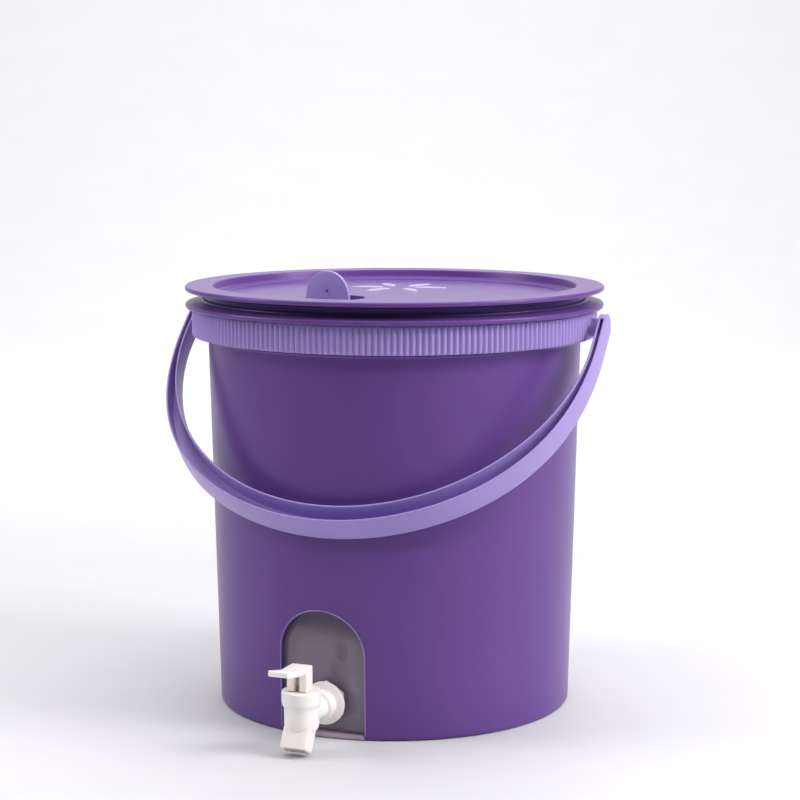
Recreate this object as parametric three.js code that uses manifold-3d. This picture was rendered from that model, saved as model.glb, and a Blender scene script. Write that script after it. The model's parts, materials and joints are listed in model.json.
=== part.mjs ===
// Plastic fermenting bucket with a plug lid, a vent flap, a bail and a push-lever tap.
// Millimetres, +Z up. The origin is the middle of the base, on the surface that the bucket stands on.
// The front, where the tap is, faces -Y. The bail's pivots lie close to the X axis.

import * as THREE from 'three';
import { mergeVertices } from 'three/addons/utils/BufferGeometryUtils.js';
import Module from 'manifold-3d';

const wasm = await Module();
wasm.setup();

// ---- driving dimensions -------------------------------------------------------------------------

const GAP = 0.3; // between pieces that touch
const WALL = 2.2; // moulded wall of the tub
const ROUND_STEPS = 72; // facets round the tub, lid and collar
const SMALL_STEPS = 24; // facets round the tap's parts

const TUB = {
  footR: 112.4,
  coneFootR: 114.3, // the cone's radius carried down to z = 0
  coneTopR: 120.8,
  coneTopZ: 256,
  flangeR: 134.8,
  flangeBottomZ: 256.8,
  flangeTopZ: 260.5,
  stepR: 124,
  neckR: 121.8,
  rimZ: 266.6,
  neckInnerR: 119.6,
  floorZ: 2.6,
};

const LID = {
  r: 135,
  topZ: 271,
  flange: 3,
  recessR: 117.3,
  floorZ: 264.2,
  floorR: 109.2,
  floorThickness: 2,
  plugR: 119.2,
  plugInnerR: 116.6,
  plugEndZ: 258.8,
};

const VENT = {
  hinge: [-26.5, -46.3], // middle of the hinge line, on the lid
  facing: 12.5, // degrees the flap's face turns from the front towards -X
  hingeZ: 262.3,
  pinR: 0.8,
  barrelR: 1.9,
  flapHalfWidth: 16.5,
  flapReach: 19.6,
  flapThickness: 2.6,
  plugAt: 6.6, // from the hinge line
  plugR: 2,
  plugLength: 1.8,
  holeR: 3.2,
  wellR: 18,
  wellOffset: 9.5, // from the hinge line to the well's middle
  wellFloorZ: 260,
  wellWall: 2.5,
  wellFloor: 1.8,
};

const COLLAR = {
  r: 130.7,
  bottomZ: 238.9,
  topZ: 256.3,
  wall: 2.2,
  sleeveInnerR: 121.6,
  sleeveWall: 1.8,
  beadR: 121.2,
  beadZ: 237.4,
};

const PIVOT = {
  z: 246.8,
  bossR: 5.8,
  bossEndX: 136.2,
  pinR: 2.2,
  holeR: 2.5,
  headR: 3,
  headLength: 1.3,
  innerEndX: 126,
};

const BAIL = {
  turn: 3, // degrees that the collar ring, and so the bail, sits turned on the tub
  tilt: 49.2, // degrees forward of hanging straight down, where the bow rests on the tub's wall
  innerHalfWidth: 136.6,
  legEnd: 21.5, // down from the pivots, where the straight legs end and the bow begins
  innerDepth: 139.5, // of the bow
  legThickness: 4.7, // of the strap, square to its inner rim
  bowThickness: 12.2,
  taperStart: 28, // down from the pivots
  taperEnd: 140,
  halfDepth: 8.65, // to the front and rear of the pivot axis, and the radius of the round ends
  webBack: -5.05,
  wall: 1.3,
  web: 1.6,
};

const RECESS = {
  centreX: -2.4, // the arch sits off the tap's line
  halfWidth: 27.8,
  archTopZ: 79.4,
  springZ: 52,
  floorR: 106.2, // distance from the tub's axis to the recess's flat back
  backWall: 2.2,
  sideWall: 2.2,
};

const PANEL = {
  frontR: 108.5,
  backR: 106.5,
  sillBottomZ: 0.3,
  sillTopZ: 3,
};

const TAP = {
  z: 22, // of the shank's axis
  barrelAt: 148, // distance from the tub's axis to the barrel's axis
  shankR: 7.6,
  shankEnd: 93,
  boreR: 4,
  wallHoleR: 8,
  neckR: 9,
  armR: 6.9, // between the small disc and the barrel
  flangeR: 13.4,
  discR: 9.7,
  barrelR: 10.6,
  barrelBottomZ: 16,
  barrelTopZ: 35.7,
  chamberR: 8,
  chamberFloorZ: 18,
  seatR: 3.5,
  spoutWidth: 17.7,
  spoutDepth: 12,
  spoutWall: 2,
  spoutSlant: 30, // degrees forward of straight down
  spoutLength: 18.6,
  nutHoleR: 8,
  gasketR: 11.2,
};

const BONNET = { r: 12, bottomZ: 29.2, topZ: 38.8, innerR: 10.9, ceilingZ: 36, holeR: 3.4 };

const STEM = {
  r: 3,
  bottomZ: 21.4,
  bladeZ: 37, // low enough for the cheeks to turn above the rod
  bladeTopZ: 48.6,
  bladeThickness: 2.4,
  bladeWidth: 6,
};

const LEVER = {
  pinZ: 45,
  pinAt: 148.5, // distance from the tub's axis
  pinR: 1.2,
  pinHoleR: 1.4,
  halfWidth: 6.4,
  slotHalfWidth: 1.8,
  slotTopZ: 50.2,
  back: 145.8,
  cheekFront: 155,
  bend: 163, // where the flat plate turns up to the tip
  tip: 180.4,
};

// ---- helpers ------------------------------------------------------------------------------------

const rad = THREE.MathUtils.degToRad;

// Signed volume of an indexed geometry: positive when its faces point out.
function signedVolume(positions, index) {
  const [a, b, c] = [new THREE.Vector3(), new THREE.Vector3(), new THREE.Vector3()];
  let total = 0;
  for (let i = 0; i < index.length; i += 3) {
    a.fromArray(positions, 3 * index[i]);
    b.fromArray(positions, 3 * index[i + 1]);
    c.fromArray(positions, 3 * index[i + 2]);
    total += a.dot(b.cross(c));
  }
  return total / 6;
}

// Turns a closed geometry into a solid that can be joined and cut.
function solid(geometry) {
  const bare = geometry.index ? geometry.toNonIndexed() : geometry.clone();
  bare.deleteAttribute('normal');
  bare.deleteAttribute('uv');
  const merged = mergeVertices(bare, 1e-4);
  const positions = merged.attributes.position.array;
  const all = merged.index.array;
  const index = [];
  for (let i = 0; i < all.length; i += 3) {
    const [a, b, c] = [all[i], all[i + 1], all[i + 2]];
    if (a !== b && b !== c && c !== a) index.push(a, b, c);
  }
  if (signedVolume(positions, index) < 0) index.reverse();
  return new wasm.Manifold(new wasm.Mesh({
    numProp: 3,
    vertProperties: new Float32Array(positions),
    triVerts: new Uint32Array(index),
  }));
}

function geometryOf(manifold) {
  const mesh = manifold.getMesh();
  const geometry = new THREE.BufferGeometry();
  geometry.setAttribute('position', new THREE.BufferAttribute(mesh.vertProperties, 3));
  geometry.setIndex(new THREE.BufferAttribute(mesh.triVerts, 1));
  geometry.computeVertexNormals();
  return geometry;
}

function joined(...solids) {
  return solids.reduce((whole, next) => whole.add(next));
}

function cut(whole, ...tools) {
  return tools.reduce((rest, tool) => rest.subtract(tool), whole);
}

// A body of revolution about +Z from a list of [r, z].
function turned(profile, steps = ROUND_STEPS) {
  const points = profile.map(([r, z]) => new THREE.Vector2(r, z));
  return solid(new THREE.LatheGeometry(points, steps).rotateX(Math.PI / 2));
}

// A ring: its profile closes on itself away from the axis.
function turnedRing(profile, steps = ROUND_STEPS) {
  return turned([...profile, profile[0]], steps);
}

// Moves a body of revolution about +Z so that its axis points to the front (-Y) and
// its profile's z becomes the distance from the tub's axis.
function alongTap(geometrySolid) {
  return geometrySolid.rotate([90, 0, 0]).translate([0, 0, TAP.z]);
}

function tapTurned(profile, steps = SMALL_STEPS) {
  return alongTap(turned(profile, steps));
}

// A plain round bar about +Z.
function bar(r, z0, z1, steps = SMALL_STEPS) {
  return turned([[0, z0], [r, z0], [r, z1], [0, z1]], steps);
}

// A bar parallel to X, centred on (y, z).
function crossBar(r, x0, x1, y, z, steps = SMALL_STEPS) {
  return bar(r, x0, x1, steps).rotate([0, 90, 0]).translate([0, y, z]);
}

function box(x0, x1, y0, y1, z0, z1) {
  const geometry = new THREE.BoxGeometry(x1 - x0, y1 - y0, z1 - z0);
  return solid(geometry.translate((x0 + x1) / 2, (y0 + y1) / 2, (z0 + z1) / 2));
}

// A shape in the XY plane, given depth from z0 to z1.
function extruded(shape, z0, z1, curveSegments = 24) {
  const settings = { depth: z1 - z0, bevelEnabled: false, curveSegments };
  return solid(new THREE.ExtrudeGeometry(shape, settings).translate(0, 0, z0));
}

function polygon(points) {
  return new THREE.Shape(points.map(([x, y]) => new THREE.Vector2(x, y)));
}

// Quarter-round from one profile point to another: a short row of [r, z] points.
function fillet(centreR, centreZ, radius, fromDegrees, toDegrees, steps = 4) {
  const points = [];
  for (let i = 0; i <= steps; i += 1) {
    const angle = rad(fromDegrees + ((toDegrees - fromDegrees) * i) / steps);
    points.push([centreR + radius * Math.cos(angle), centreZ + radius * Math.sin(angle)]);
  }
  return points;
}

// ---- materials ----------------------------------------------------------------------------------

function plastic(name, color, roughness) {
  return new THREE.MeshStandardMaterial({ name, color, roughness, metalness: 0 });
}

const PURPLE = plastic('tub_plastic', 0x5a3d86, 0.45);
const LAVENDER = plastic('trim_plastic', 0x9a84c8, 0.45);
const WHITE = plastic('tap_plastic', 0xf2ecec, 0.35);
const SMOKE = plastic('panel_plastic', 0x6c6478, 0.15);
const SILICONE = plastic('seal_silicone', 0xdcdce0, 0.6);
const STEEL = new THREE.MeshStandardMaterial({
  name: 'spring_steel',
  color: 0xb8babd,
  roughness: 0.3,
  metalness: 1,
});

// ---- tub ----------------------------------------------------------------------------------------

function tubRadius(z) {
  const slope = (TUB.coneTopR - TUB.coneFootR) / TUB.coneTopZ;
  return TUB.coneFootR + slope * z;
}

const FOOT_ROUND = 2;

function tubOuterProfile() {
  const footCentre = tubRadius(FOOT_ROUND) - FOOT_ROUND;
  return [
    [0, 0],
    ...fillet(footCentre, FOOT_ROUND, FOOT_ROUND, -90, 0),
    [tubRadius(COLLAR.beadZ - 1), COLLAR.beadZ - 1],
    [COLLAR.beadR, COLLAR.beadZ],
    [tubRadius(COLLAR.beadZ + 1), COLLAR.beadZ + 1],
    [TUB.coneTopR, TUB.coneTopZ],
    [TUB.coneTopR + 0.8, TUB.flangeBottomZ],
    [TUB.flangeR - 1.5, TUB.flangeBottomZ],
    [TUB.flangeR - 0.3, TUB.flangeBottomZ + 0.6],
    [TUB.flangeR, TUB.flangeBottomZ + 1.6],
    [TUB.flangeR - 0.6, TUB.flangeBottomZ + 2.7],
    [TUB.flangeR - 3.2, TUB.flangeTopZ - 0.4],
    [TUB.stepR + 2.4, TUB.flangeTopZ + 0.2],
    [TUB.stepR + 0.2, TUB.flangeTopZ + 0.9],
    [TUB.stepR - 0.4, TUB.flangeTopZ + 1.6],
    [TUB.neckR, TUB.flangeTopZ + 2.2],
    [TUB.neckR, TUB.rimZ - 0.6],
    [TUB.neckR - 0.6, TUB.rimZ],
  ];
}

function tubInnerProfile() {
  const innerFootR = tubRadius(TUB.floorZ) - WALL;
  return [
    [TUB.neckInnerR + 0.6, TUB.rimZ],
    [TUB.neckInnerR, TUB.rimZ - 0.6],
    [TUB.neckInnerR, TUB.coneTopZ + 1],
    [TUB.coneTopR - WALL, TUB.coneTopZ - 1],
    [innerFootR, TUB.floorZ + 5],
    [innerFootR - 1.6, TUB.floorZ + 1.4],
    [innerFootR - 5, TUB.floorZ],
    [0, TUB.floorZ],
  ];
}

// The recess's front outline: an arch, in X and Z, drawn as X and Y.
function archShape(halfWidth, bottomZ, springZ, topZ) {
  const shape = new THREE.Shape();
  shape.moveTo(-halfWidth, bottomZ);
  shape.lineTo(halfWidth, bottomZ);
  shape.lineTo(halfWidth, springZ);
  shape.absellipse(0, springZ, halfWidth, topZ - springZ, 0, Math.PI, false, 0);
  return shape;
}

// An arch prism that runs from one distance in front of the tub's axis to another.
function archPrism(margin, bottomZ, fromR, toR) {
  const shape = archShape(
    RECESS.halfWidth + margin,
    bottomZ,
    RECESS.springZ,
    RECESS.archTopZ + margin,
  );
  return extruded(shape, fromR, toR, 16).rotate([90, 0, 0]).translate([RECESS.centreX, 0, 0]);
}

const FAR_R = 140; // beyond the tub's wall

function bucketBody() {
  const outer = tubOuterProfile();
  const shell = turned([...outer, ...tubInnerProfile()]);
  const envelope = turned([...outer, [0, TUB.rimZ]]);
  const pocket = archPrism(RECESS.sideWall, 0, RECESS.floorR - RECESS.backWall, FAR_R);
  const recess = archPrism(0, -1, RECESS.floorR, FAR_R);
  const shank = alongTap(bar(TAP.wallHoleR, 100, FAR_R));
  return cut(joined(shell, pocket.intersect(envelope)), recess, shank);
}

function tapPanel() {
  const plate = archPrism(-GAP, PANEL.sillBottomZ, PANEL.backR, PANEL.frontR);
  const envelope = turned([[0, PANEL.sillBottomZ],
    [TUB.footR + 0.6, PANEL.sillBottomZ],
    [tubRadius(PANEL.sillTopZ) - 0.4, 1.4],
    [tubRadius(PANEL.sillTopZ), PANEL.sillTopZ],
    [0, PANEL.sillTopZ]]);
  const halfWidth = RECESS.halfWidth - GAP;
  const sill = box(RECESS.centreX - halfWidth, RECESS.centreX + halfWidth, -FAR_R, -PANEL.backR,
    PANEL.sillBottomZ, PANEL.sillTopZ);
  const shank = alongTap(bar(TAP.wallHoleR, 100, FAR_R));
  return cut(joined(plate, sill.intersect(envelope)), shank);
}

// ---- collar, studs and bail ---------------------------------------------------------------------

// Turns what is drawn with its pivots on the X axis to where the collar ring sits on the tub.
function onCollar(part) {
  return part.rotate([0, 0, BAIL.turn]);
}

function collarRing() {
  const { r, wall, bottomZ, topZ, sleeveInnerR, sleeveWall } = COLLAR;
  const ring = turnedRing([
    [sleeveInnerR, bottomZ],
    [r - 1, bottomZ],
    [r - 0.3, bottomZ + 0.3],
    [r, bottomZ + 1],
    [r, topZ],
    [r - wall, topZ],
    [r - wall, bottomZ + wall],
    [sleeveInnerR + sleeveWall, bottomZ + wall],
    [sleeveInnerR + sleeveWall, topZ],
    [sleeveInnerR, topZ],
  ]);
  const bossStart = r - wall - 0.5;
  const [right, left] = [1, -1].map((side) => {
    const ends = [side * bossStart, side * PIVOT.bossEndX].sort((a, b) => a - b);
    return crossBar(PIVOT.bossR, ...ends, 0, PIVOT.z);
  });
  const bore = crossBar(PIVOT.holeR, r - wall - 2, FAR_R, 0, PIVOT.z);
  const otherBore = crossBar(PIVOT.holeR, -FAR_R, wall + 2 - r, 0, PIVOT.z);
  return onCollar(cut(joined(ring, right, left), bore, otherBore));
}

function pivotStud(side) {
  const headStart = BAIL.innerHalfWidth + BAIL.wall + GAP;
  const stud = turned([
    [0, PIVOT.innerEndX],
    [PIVOT.pinR - 0.4, PIVOT.innerEndX],
    [PIVOT.pinR, PIVOT.innerEndX + 0.8],
    [PIVOT.pinR, headStart],
    [PIVOT.headR, headStart],
    [PIVOT.headR, headStart + PIVOT.headLength - 0.6],
    [PIVOT.headR - 0.6, headStart + PIVOT.headLength],
    [0, headStart + PIVOT.headLength],
  ], 20);
  return onCollar(stud.rotate([0, side * 90, 0]).translate([0, 0, PIVOT.z]));
}

// How thick the strap is at a distance below the pivots.
function strapThickness(down) {
  const share = THREE.MathUtils.smoothstep(down, BAIL.taperStart, BAIL.taperEnd);
  return THREE.MathUtils.lerp(BAIL.legThickness, BAIL.bowThickness, share);
}

// A line outside the bail's inner rim by outwardAt(distance below the pivots): straight legs, then a
// bow. The bail's own plane is drawn in X and Y, hanging down, with Y up.
function bailLine(outwardAt) {
  const { innerHalfWidth, innerDepth, legEnd, halfDepth } = BAIL;
  const steps = 44;
  const legX = innerHalfWidth + outwardAt(0);
  const points = [[legX, halfDepth], [-legX, halfDepth]];
  for (let i = 0; i <= steps; i += 1) {
    const angle = Math.PI * (i / steps - 0.5); // from straight down
    const rim = new THREE.Vector2(innerHalfWidth * Math.sin(angle), -innerDepth * Math.cos(angle));
    const normal = new THREE.Vector2(rim.x / innerHalfWidth ** 2, rim.y / innerDepth ** 2).normalize();
    const down = legEnd - rim.y;
    points.push([
      rim.x + normal.x * outwardAt(down),
      rim.y + normal.y * outwardAt(down) - legEnd,
    ]);
  }
  return polygon(points);
}

function bailBand(fromAt, toAt, back, front) {
  const outside = extruded(bailLine(toAt), back, front);
  const inside = extruded(bailLine(fromAt), back - 1, front + 1);
  return outside.subtract(inside);
}

function bailHandle() {
  const { halfDepth, webBack, wall, web, innerHalfWidth } = BAIL;
  const rim = () => 0;
  const outerFace = (down) => strapThickness(down) - wall;
  const innerWall = bailBand(rim, () => wall, webBack, halfDepth);
  const outerWall = bailBand(outerFace, strapThickness, -halfDepth, halfDepth);
  const floor = bailBand(() => wall / 2, (down) => strapThickness(down) - wall / 2, webBack, webBack + web);
  const endWalls = bailBand(rim, strapThickness, webBack, halfDepth)
    .intersect(box(-2 * FAR_R, 2 * FAR_R, 0, halfDepth, -halfDepth, halfDepth))
    .subtract(crossBar(halfDepth - wall, -2 * FAR_R, 2 * FAR_R, 0, 0, 40));
  const flat = joined(innerWall, outerWall, floor, endWalls);
  const reach = innerHalfWidth + wall + 1;
  const holes = crossBar(PIVOT.holeR, -reach, reach, 0, 0);
  // From the drawing plane (X, Y up, Z to the front) to hanging in X and Z with the front at -Y.
  const hanging = flat.rotate([90, 0, 0]).intersect(bailTrim());
  const tilted = hanging.subtract(holes).rotate([-BAIL.tilt, 0, 0]);
  return onCollar(tilted.translate([0, 0, PIVOT.z]));
}

// The side view of the bail, in Y and Z, with its upper ends rounded about the pivot axis.
function bailTrim() {
  const { halfDepth } = BAIL;
  const shape = new THREE.Shape();
  shape.moveTo(-halfDepth - 1, -400);
  shape.lineTo(halfDepth + 1, -400);
  shape.lineTo(halfDepth + 1, 0);
  shape.lineTo(halfDepth, 0);
  shape.absarc(0, 0, halfDepth, 0, Math.PI, false);
  shape.lineTo(-halfDepth - 1, 0);
  return extruded(shape, -200, 200, 20).rotate([90, 0, 90]);
}

// ---- lid ----------------------------------------------------------------------------------------

function lidDisc() {
  const { r, topZ, flange, recessR, floorZ, floorR, floorThickness, plugR, plugInnerR, plugEndZ } = LID;
  const flangeBottomZ = topZ - flange;
  return turned([
    [0, floorZ],
    [floorR, floorZ],
    [floorR + 0.8, floorZ + 0.9],
    [floorR + 5, floorZ + 1.2],
    [recessR - 0.8, floorZ + 2.2],
    [recessR, topZ - 1.6],
    [recessR + 0.5, topZ - 0.5],
    [recessR + 1.6, topZ],
    [r - 1.6, topZ],
    [r - 0.4, topZ - 0.5],
    [r, topZ - 1.5],
    [r - 0.4, topZ - 2.5],
    [r - 1.4, flangeBottomZ],
    [plugR, flangeBottomZ],
    [plugR, plugEndZ + 1.5],
    [plugR - 0.6, plugEndZ],
    [plugInnerR, plugEndZ],
    [plugInnerR, floorZ - floorThickness],
    [0, floorZ - floorThickness],
  ]);
}

// Moves a solid that was made about the flap's hinge (X along the hinge, Y to the rear) to its place.
function atVent(part) {
  const [x, y] = VENT.hinge;
  return part.rotate([0, 0, -VENT.facing]).translate([x, y, 0]);
}

const HINGE_FRONT = 2.6; // from the hinge line to the well's straight front wall
const VENT_PIN_HALF = 18.4;

// The well's plan, grown by a wall: a disc to the rear of the hinge line, and a straight-sided
// part round the flap's barrel.
function wellPlan(grow, z0, z1) {
  const { wellR, wellOffset, flapHalfWidth } = VENT;
  const front = -HINGE_FRONT - grow;
  const side = flapHalfWidth + 0.4 + grow;
  const disc = bar(wellR + grow, z0, z1, 36).translate([0, wellOffset, 0]);
  const rear = disc.intersect(box(-40, 40, front, 60, z0, z1));
  return joined(rear, box(-side, side, front, 4, z0, z1));
}

function lidPlate() {
  const { wellWall, wellFloorZ, wellFloor, hingeZ, pinR, holeR, plugAt } = VENT;
  const wellBottomZ = wellFloorZ - wellFloor;
  const end = VENT_PIN_HALF + GAP;
  const shell = wellPlan(wellWall, wellBottomZ, LID.floorZ - 0.5);
  const hollow = wellPlan(0, wellFloorZ, LID.topZ);
  const hole = bar(holeR, wellBottomZ - 1, LID.topZ, 20).translate([0, plugAt, 0]);
  const bore = crossBar(pinR + GAP, -end, end, 0, hingeZ, 12);
  return cut(joined(lidDisc(), atVent(shell)), atVent(joined(hollow, hole, bore)));
}

function ventFlapPin() {
  return atVent(crossBar(VENT.pinR, -VENT_PIN_HALF, VENT_PIN_HALF, 0, VENT.hingeZ, 12));
}

// The flap, standing up: drawn in X and Y (Y up from the hinge line), thickness along Z.
function ventFlap() {
  const { flapHalfWidth, flapReach, flapThickness, barrelR, pinR, plugAt, plugR, plugLength } = VENT;
  const shape = new THREE.Shape();
  const shoulder = flapReach - flapHalfWidth;
  shape.moveTo(-flapHalfWidth, 0);
  shape.lineTo(flapHalfWidth, 0);
  shape.lineTo(flapHalfWidth, shoulder);
  shape.absarc(0, shoulder, flapHalfWidth, 0, Math.PI, false);
  const half = flapThickness / 2;
  const plate = extruded(shape, -half, half, 20);
  const plug = bar(plugR, -half - plugLength, 0, 16).translate([0, plugAt, 0]);
  const dimple = bar(1.3, half - 1.2, half + 1, 16).translate([0, plugAt, 0]);
  const barrel = crossBar(barrelR, -flapHalfWidth, flapHalfWidth, 0, 0, 16);
  const bore = crossBar(pinR + GAP, -30, 30, 0, 0, 12);
  const lying = cut(joined(plate, plug, barrel), dimple, bore);
  return atVent(lying.rotate([90, 0, 0]).translate([0, 0, VENT.hingeZ]));
}

function lidSeal() {
  const z0 = TUB.rimZ + GAP;
  const z1 = LID.topZ - LID.flange - GAP;
  return turnedRing([
    [TUB.neckInnerR + 0.3, z0],
    [TUB.neckR - 0.2, z0],
    [TUB.neckR - 0.2, z1],
    [TUB.neckInnerR + 0.3, z1],
  ]);
}

// ---- tap ----------------------------------------------------------------------------------------

// Shank with round thread ridges, as [r, distance from the tub's axis].
function shankProfile() {
  const ridges = [];
  const pitch = 3;
  for (let at = TAP.shankEnd + 1; at < 103; at += pitch) {
    ridges.push([TAP.shankR - 0.8, at], [TAP.shankR, at + 0.8]);
    ridges.push([TAP.shankR, at + 1.4], [TAP.shankR - 0.8, at + 2.2]);
  }
  return ridges;
}

function tapShank() {
  const flangeBack = 113.5;
  const flangeFront = 116.2;
  return tapTurned([
    [0, TAP.shankEnd],
    [TAP.shankR - 0.8, TAP.shankEnd],
    ...shankProfile(),
    [TAP.shankR, 104],
    [TAP.shankR, flangeBack],
    [TAP.flangeR - 0.5, flangeBack],
    [TAP.flangeR, flangeBack + 0.6],
    [TAP.flangeR, flangeFront - 0.8],
    [TAP.flangeR - 0.8, flangeFront],
    [TAP.neckR, flangeFront],
    [TAP.neckR, 120],
    [TAP.discR, 120.5],
    [TAP.discR, 124],
    [TAP.discR - 0.8, 124.6],
    [TAP.armR, 124.6],
    [TAP.armR, TAP.barrelAt],
    [0, TAP.barrelAt],
  ]);
}

// The slanted spout or, with an inset, its passage: a rounded box, drawn round its own axis.
function spout(inset, length) {
  const halfWidth = TAP.spoutWidth / 2 - inset;
  const halfDepth = TAP.spoutDepth / 2 - inset;
  const corner = 3 - inset / 2;
  const shape = new THREE.Shape();
  shape.moveTo(-halfWidth + corner, -halfDepth);
  shape.lineTo(halfWidth - corner, -halfDepth);
  shape.absarc(halfWidth - corner, -halfDepth + corner, corner, -Math.PI / 2, 0, false);
  shape.absarc(halfWidth - corner, halfDepth - corner, corner, 0, Math.PI / 2, false);
  shape.absarc(-halfWidth + corner, halfDepth - corner, corner, Math.PI / 2, Math.PI, false);
  shape.absarc(-halfWidth + corner, -halfDepth + corner, corner, Math.PI, 1.5 * Math.PI, false);
  const prism = extruded(shape, -length, 0, 5);
  return prism.rotate([-TAP.spoutSlant, 0, 0]).translate([0, -TAP.barrelAt, 20]);
}

function tapBody() {
  const { barrelR, barrelBottomZ, barrelTopZ, chamberR, chamberFloorZ, seatR, boreR } = TAP;
  const at = [0, -TAP.barrelAt, 0];
  const barrel = turned([
    [0, barrelBottomZ - 3],
    [barrelR - 2.6, barrelBottomZ - 3],
    [barrelR - 0.6, barrelBottomZ],
    [barrelR, barrelBottomZ + 2],
    [barrelR, barrelTopZ],
    [0, barrelTopZ],
  ], SMALL_STEPS).translate(at);
  const chamber = bar(chamberR, chamberFloorZ, barrelTopZ + 1).translate(at);
  const seat = bar(seatR, 10, chamberFloorZ + 1, 20).translate(at);
  const bore = alongTap(bar(boreR, TAP.shankEnd - 1, TAP.barrelAt - 2, 20));
  const roof = box(-20, 20, -200, -120, 16.2, 60);
  const passage = spout(TAP.spoutWall, TAP.spoutLength + 1).subtract(roof);
  const outside = spout(0, TAP.spoutLength).subtract(box(-20, 20, -200, -120, 19, 60));
  return cut(joined(tapShank(), barrel, outside), chamber, seat, bore, passage);
}

// A hexagonal nut about the shank between two distances from the tub's axis.
function hexNut(cornerR, from, to) {
  const nut = bar(cornerR, from, to, 6);
  return alongTap(nut.subtract(bar(TAP.nutHoleR, from - 1, to + 1)));
}

function washer(outerR, from, to) {
  const ring = [[TAP.nutHoleR, from], [outerR, from], [outerR, to], [TAP.nutHoleR, to]];
  return alongTap(turnedRing(ring, SMALL_STEPS));
}

function tapBonnet() {
  const { r, bottomZ, topZ, innerR, ceilingZ, holeR } = BONNET;
  return turnedRing([
    [innerR, bottomZ],
    [innerR + 0.3, bottomZ],
    [r, bottomZ + 2.2],
    [r, topZ - 1],
    [r - 1, topZ],
    [holeR, topZ],
    [holeR, ceilingZ],
    [innerR, ceilingZ],
  ], SMALL_STEPS).translate([0, -TAP.barrelAt, 0]);
}

function tapStem() {
  const { r, bottomZ, bladeZ, bladeTopZ, bladeThickness, bladeWidth } = STEM;
  const rod = turned([
    [0, bottomZ], [r - 0.5, bottomZ], [r, bottomZ + 0.6], [r, bladeZ], [0, bladeZ],
  ], 20).translate([0, -TAP.barrelAt, 0]);
  const half = bladeThickness / 2;
  const middle = -LEVER.pinAt;
  const blade = box(-half, half, middle - bladeWidth / 2, middle + bladeWidth / 2,
    bladeZ - 1, bladeTopZ);
  const inRod = blade.intersect(bar(BONNET.holeR - 0.1, 0, 60, 20).translate([0, -TAP.barrelAt, 0]));
  return cut(joined(rod, inRod), crossBar(LEVER.pinHoleR, -10, 10, middle, LEVER.pinZ, 16));
}

function tapSeatCup() {
  const cupR = 6.2;
  const bottomZ = TAP.chamberFloorZ + GAP;
  const boreR = STEM.r + GAP;
  return turned([
    [0, bottomZ],
    [cupR - 2, bottomZ],
    [cupR, bottomZ + 1.4],
    [cupR, bottomZ + 2.6],
    [boreR + 1.6, bottomZ + 3.4],
    [boreR + 1.6, bottomZ + 5.4],
    [boreR, bottomZ + 5.4],
    [boreR, STEM.bottomZ - GAP],
    [0, STEM.bottomZ - GAP],
  ], 24).translate([0, -TAP.barrelAt, 0]);
}

const SPRING = { r: 5.6, wireR: 0.5, bottomZ: 24.4, topZ: 35.2, turns: 4.5 };

class Helix extends THREE.Curve {
  getPoint(t, target = new THREE.Vector3()) {
    const angle = 2 * Math.PI * SPRING.turns * t;
    const z = SPRING.bottomZ + (SPRING.topZ - SPRING.bottomZ) * t;
    return target.set(SPRING.r * Math.cos(angle), SPRING.r * Math.sin(angle), z);
  }
}

function tapSpring() {
  const section = new THREE.Shape();
  section.absarc(0, 0, SPRING.wireR, 0, 2 * Math.PI, false);
  const settings = {
    steps: 54,
    curveSegments: 3,
    bevelEnabled: false,
    extrudePath: new Helix(),
  };
  return solid(new THREE.ExtrudeGeometry(section, settings)).translate([0, -TAP.barrelAt, 0]);
}

// The lever's side view, as [distance from the tub's axis, z]: cheeks, a flat plate above them, and
// a beak that rises to the tip.
function leverSide() {
  const { back, cheekFront, bend, tip, pinZ } = LEVER;
  const foot = BONNET.topZ + 0.4;
  return polygon([
    [back, foot],
    [cheekFront, foot],
    [cheekFront, pinZ + 6],
    [bend, pinZ + 6],
    [tip, pinZ + 9.5],
    [tip + 0.6, pinZ + 10.3],
    [tip + 0.4, pinZ + 12.5],
    [tip - 0.4, pinZ + 13.1],
    [bend, pinZ + 9.3],
    [back + 1, pinZ + 9.3],
    [back, pinZ + 8.4],
  ]);
}

function tapLever() {
  const { halfWidth, slotHalfWidth, slotTopZ, pinAt, pinZ, pinHoleR } = LEVER;
  // From (distance, z, thickness) to (thickness along X, front at -Y, Z up).
  const body = extruded(leverSide(), -halfWidth, halfWidth).rotate([90, 0, 0]).rotate([0, 0, -90]);
  const slot = box(-slotHalfWidth, slotHalfWidth, -170, -130, 0, slotTopZ);
  return cut(body, slot, crossBar(pinHoleR, -10, 10, -pinAt, pinZ, 16));
}

function tapLeverPin() {
  return crossBar(LEVER.pinR, -LEVER.halfWidth, LEVER.halfWidth, -LEVER.pinAt, LEVER.pinZ, 16);
}

// ---- assembly -----------------------------------------------------------------------------------

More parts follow.
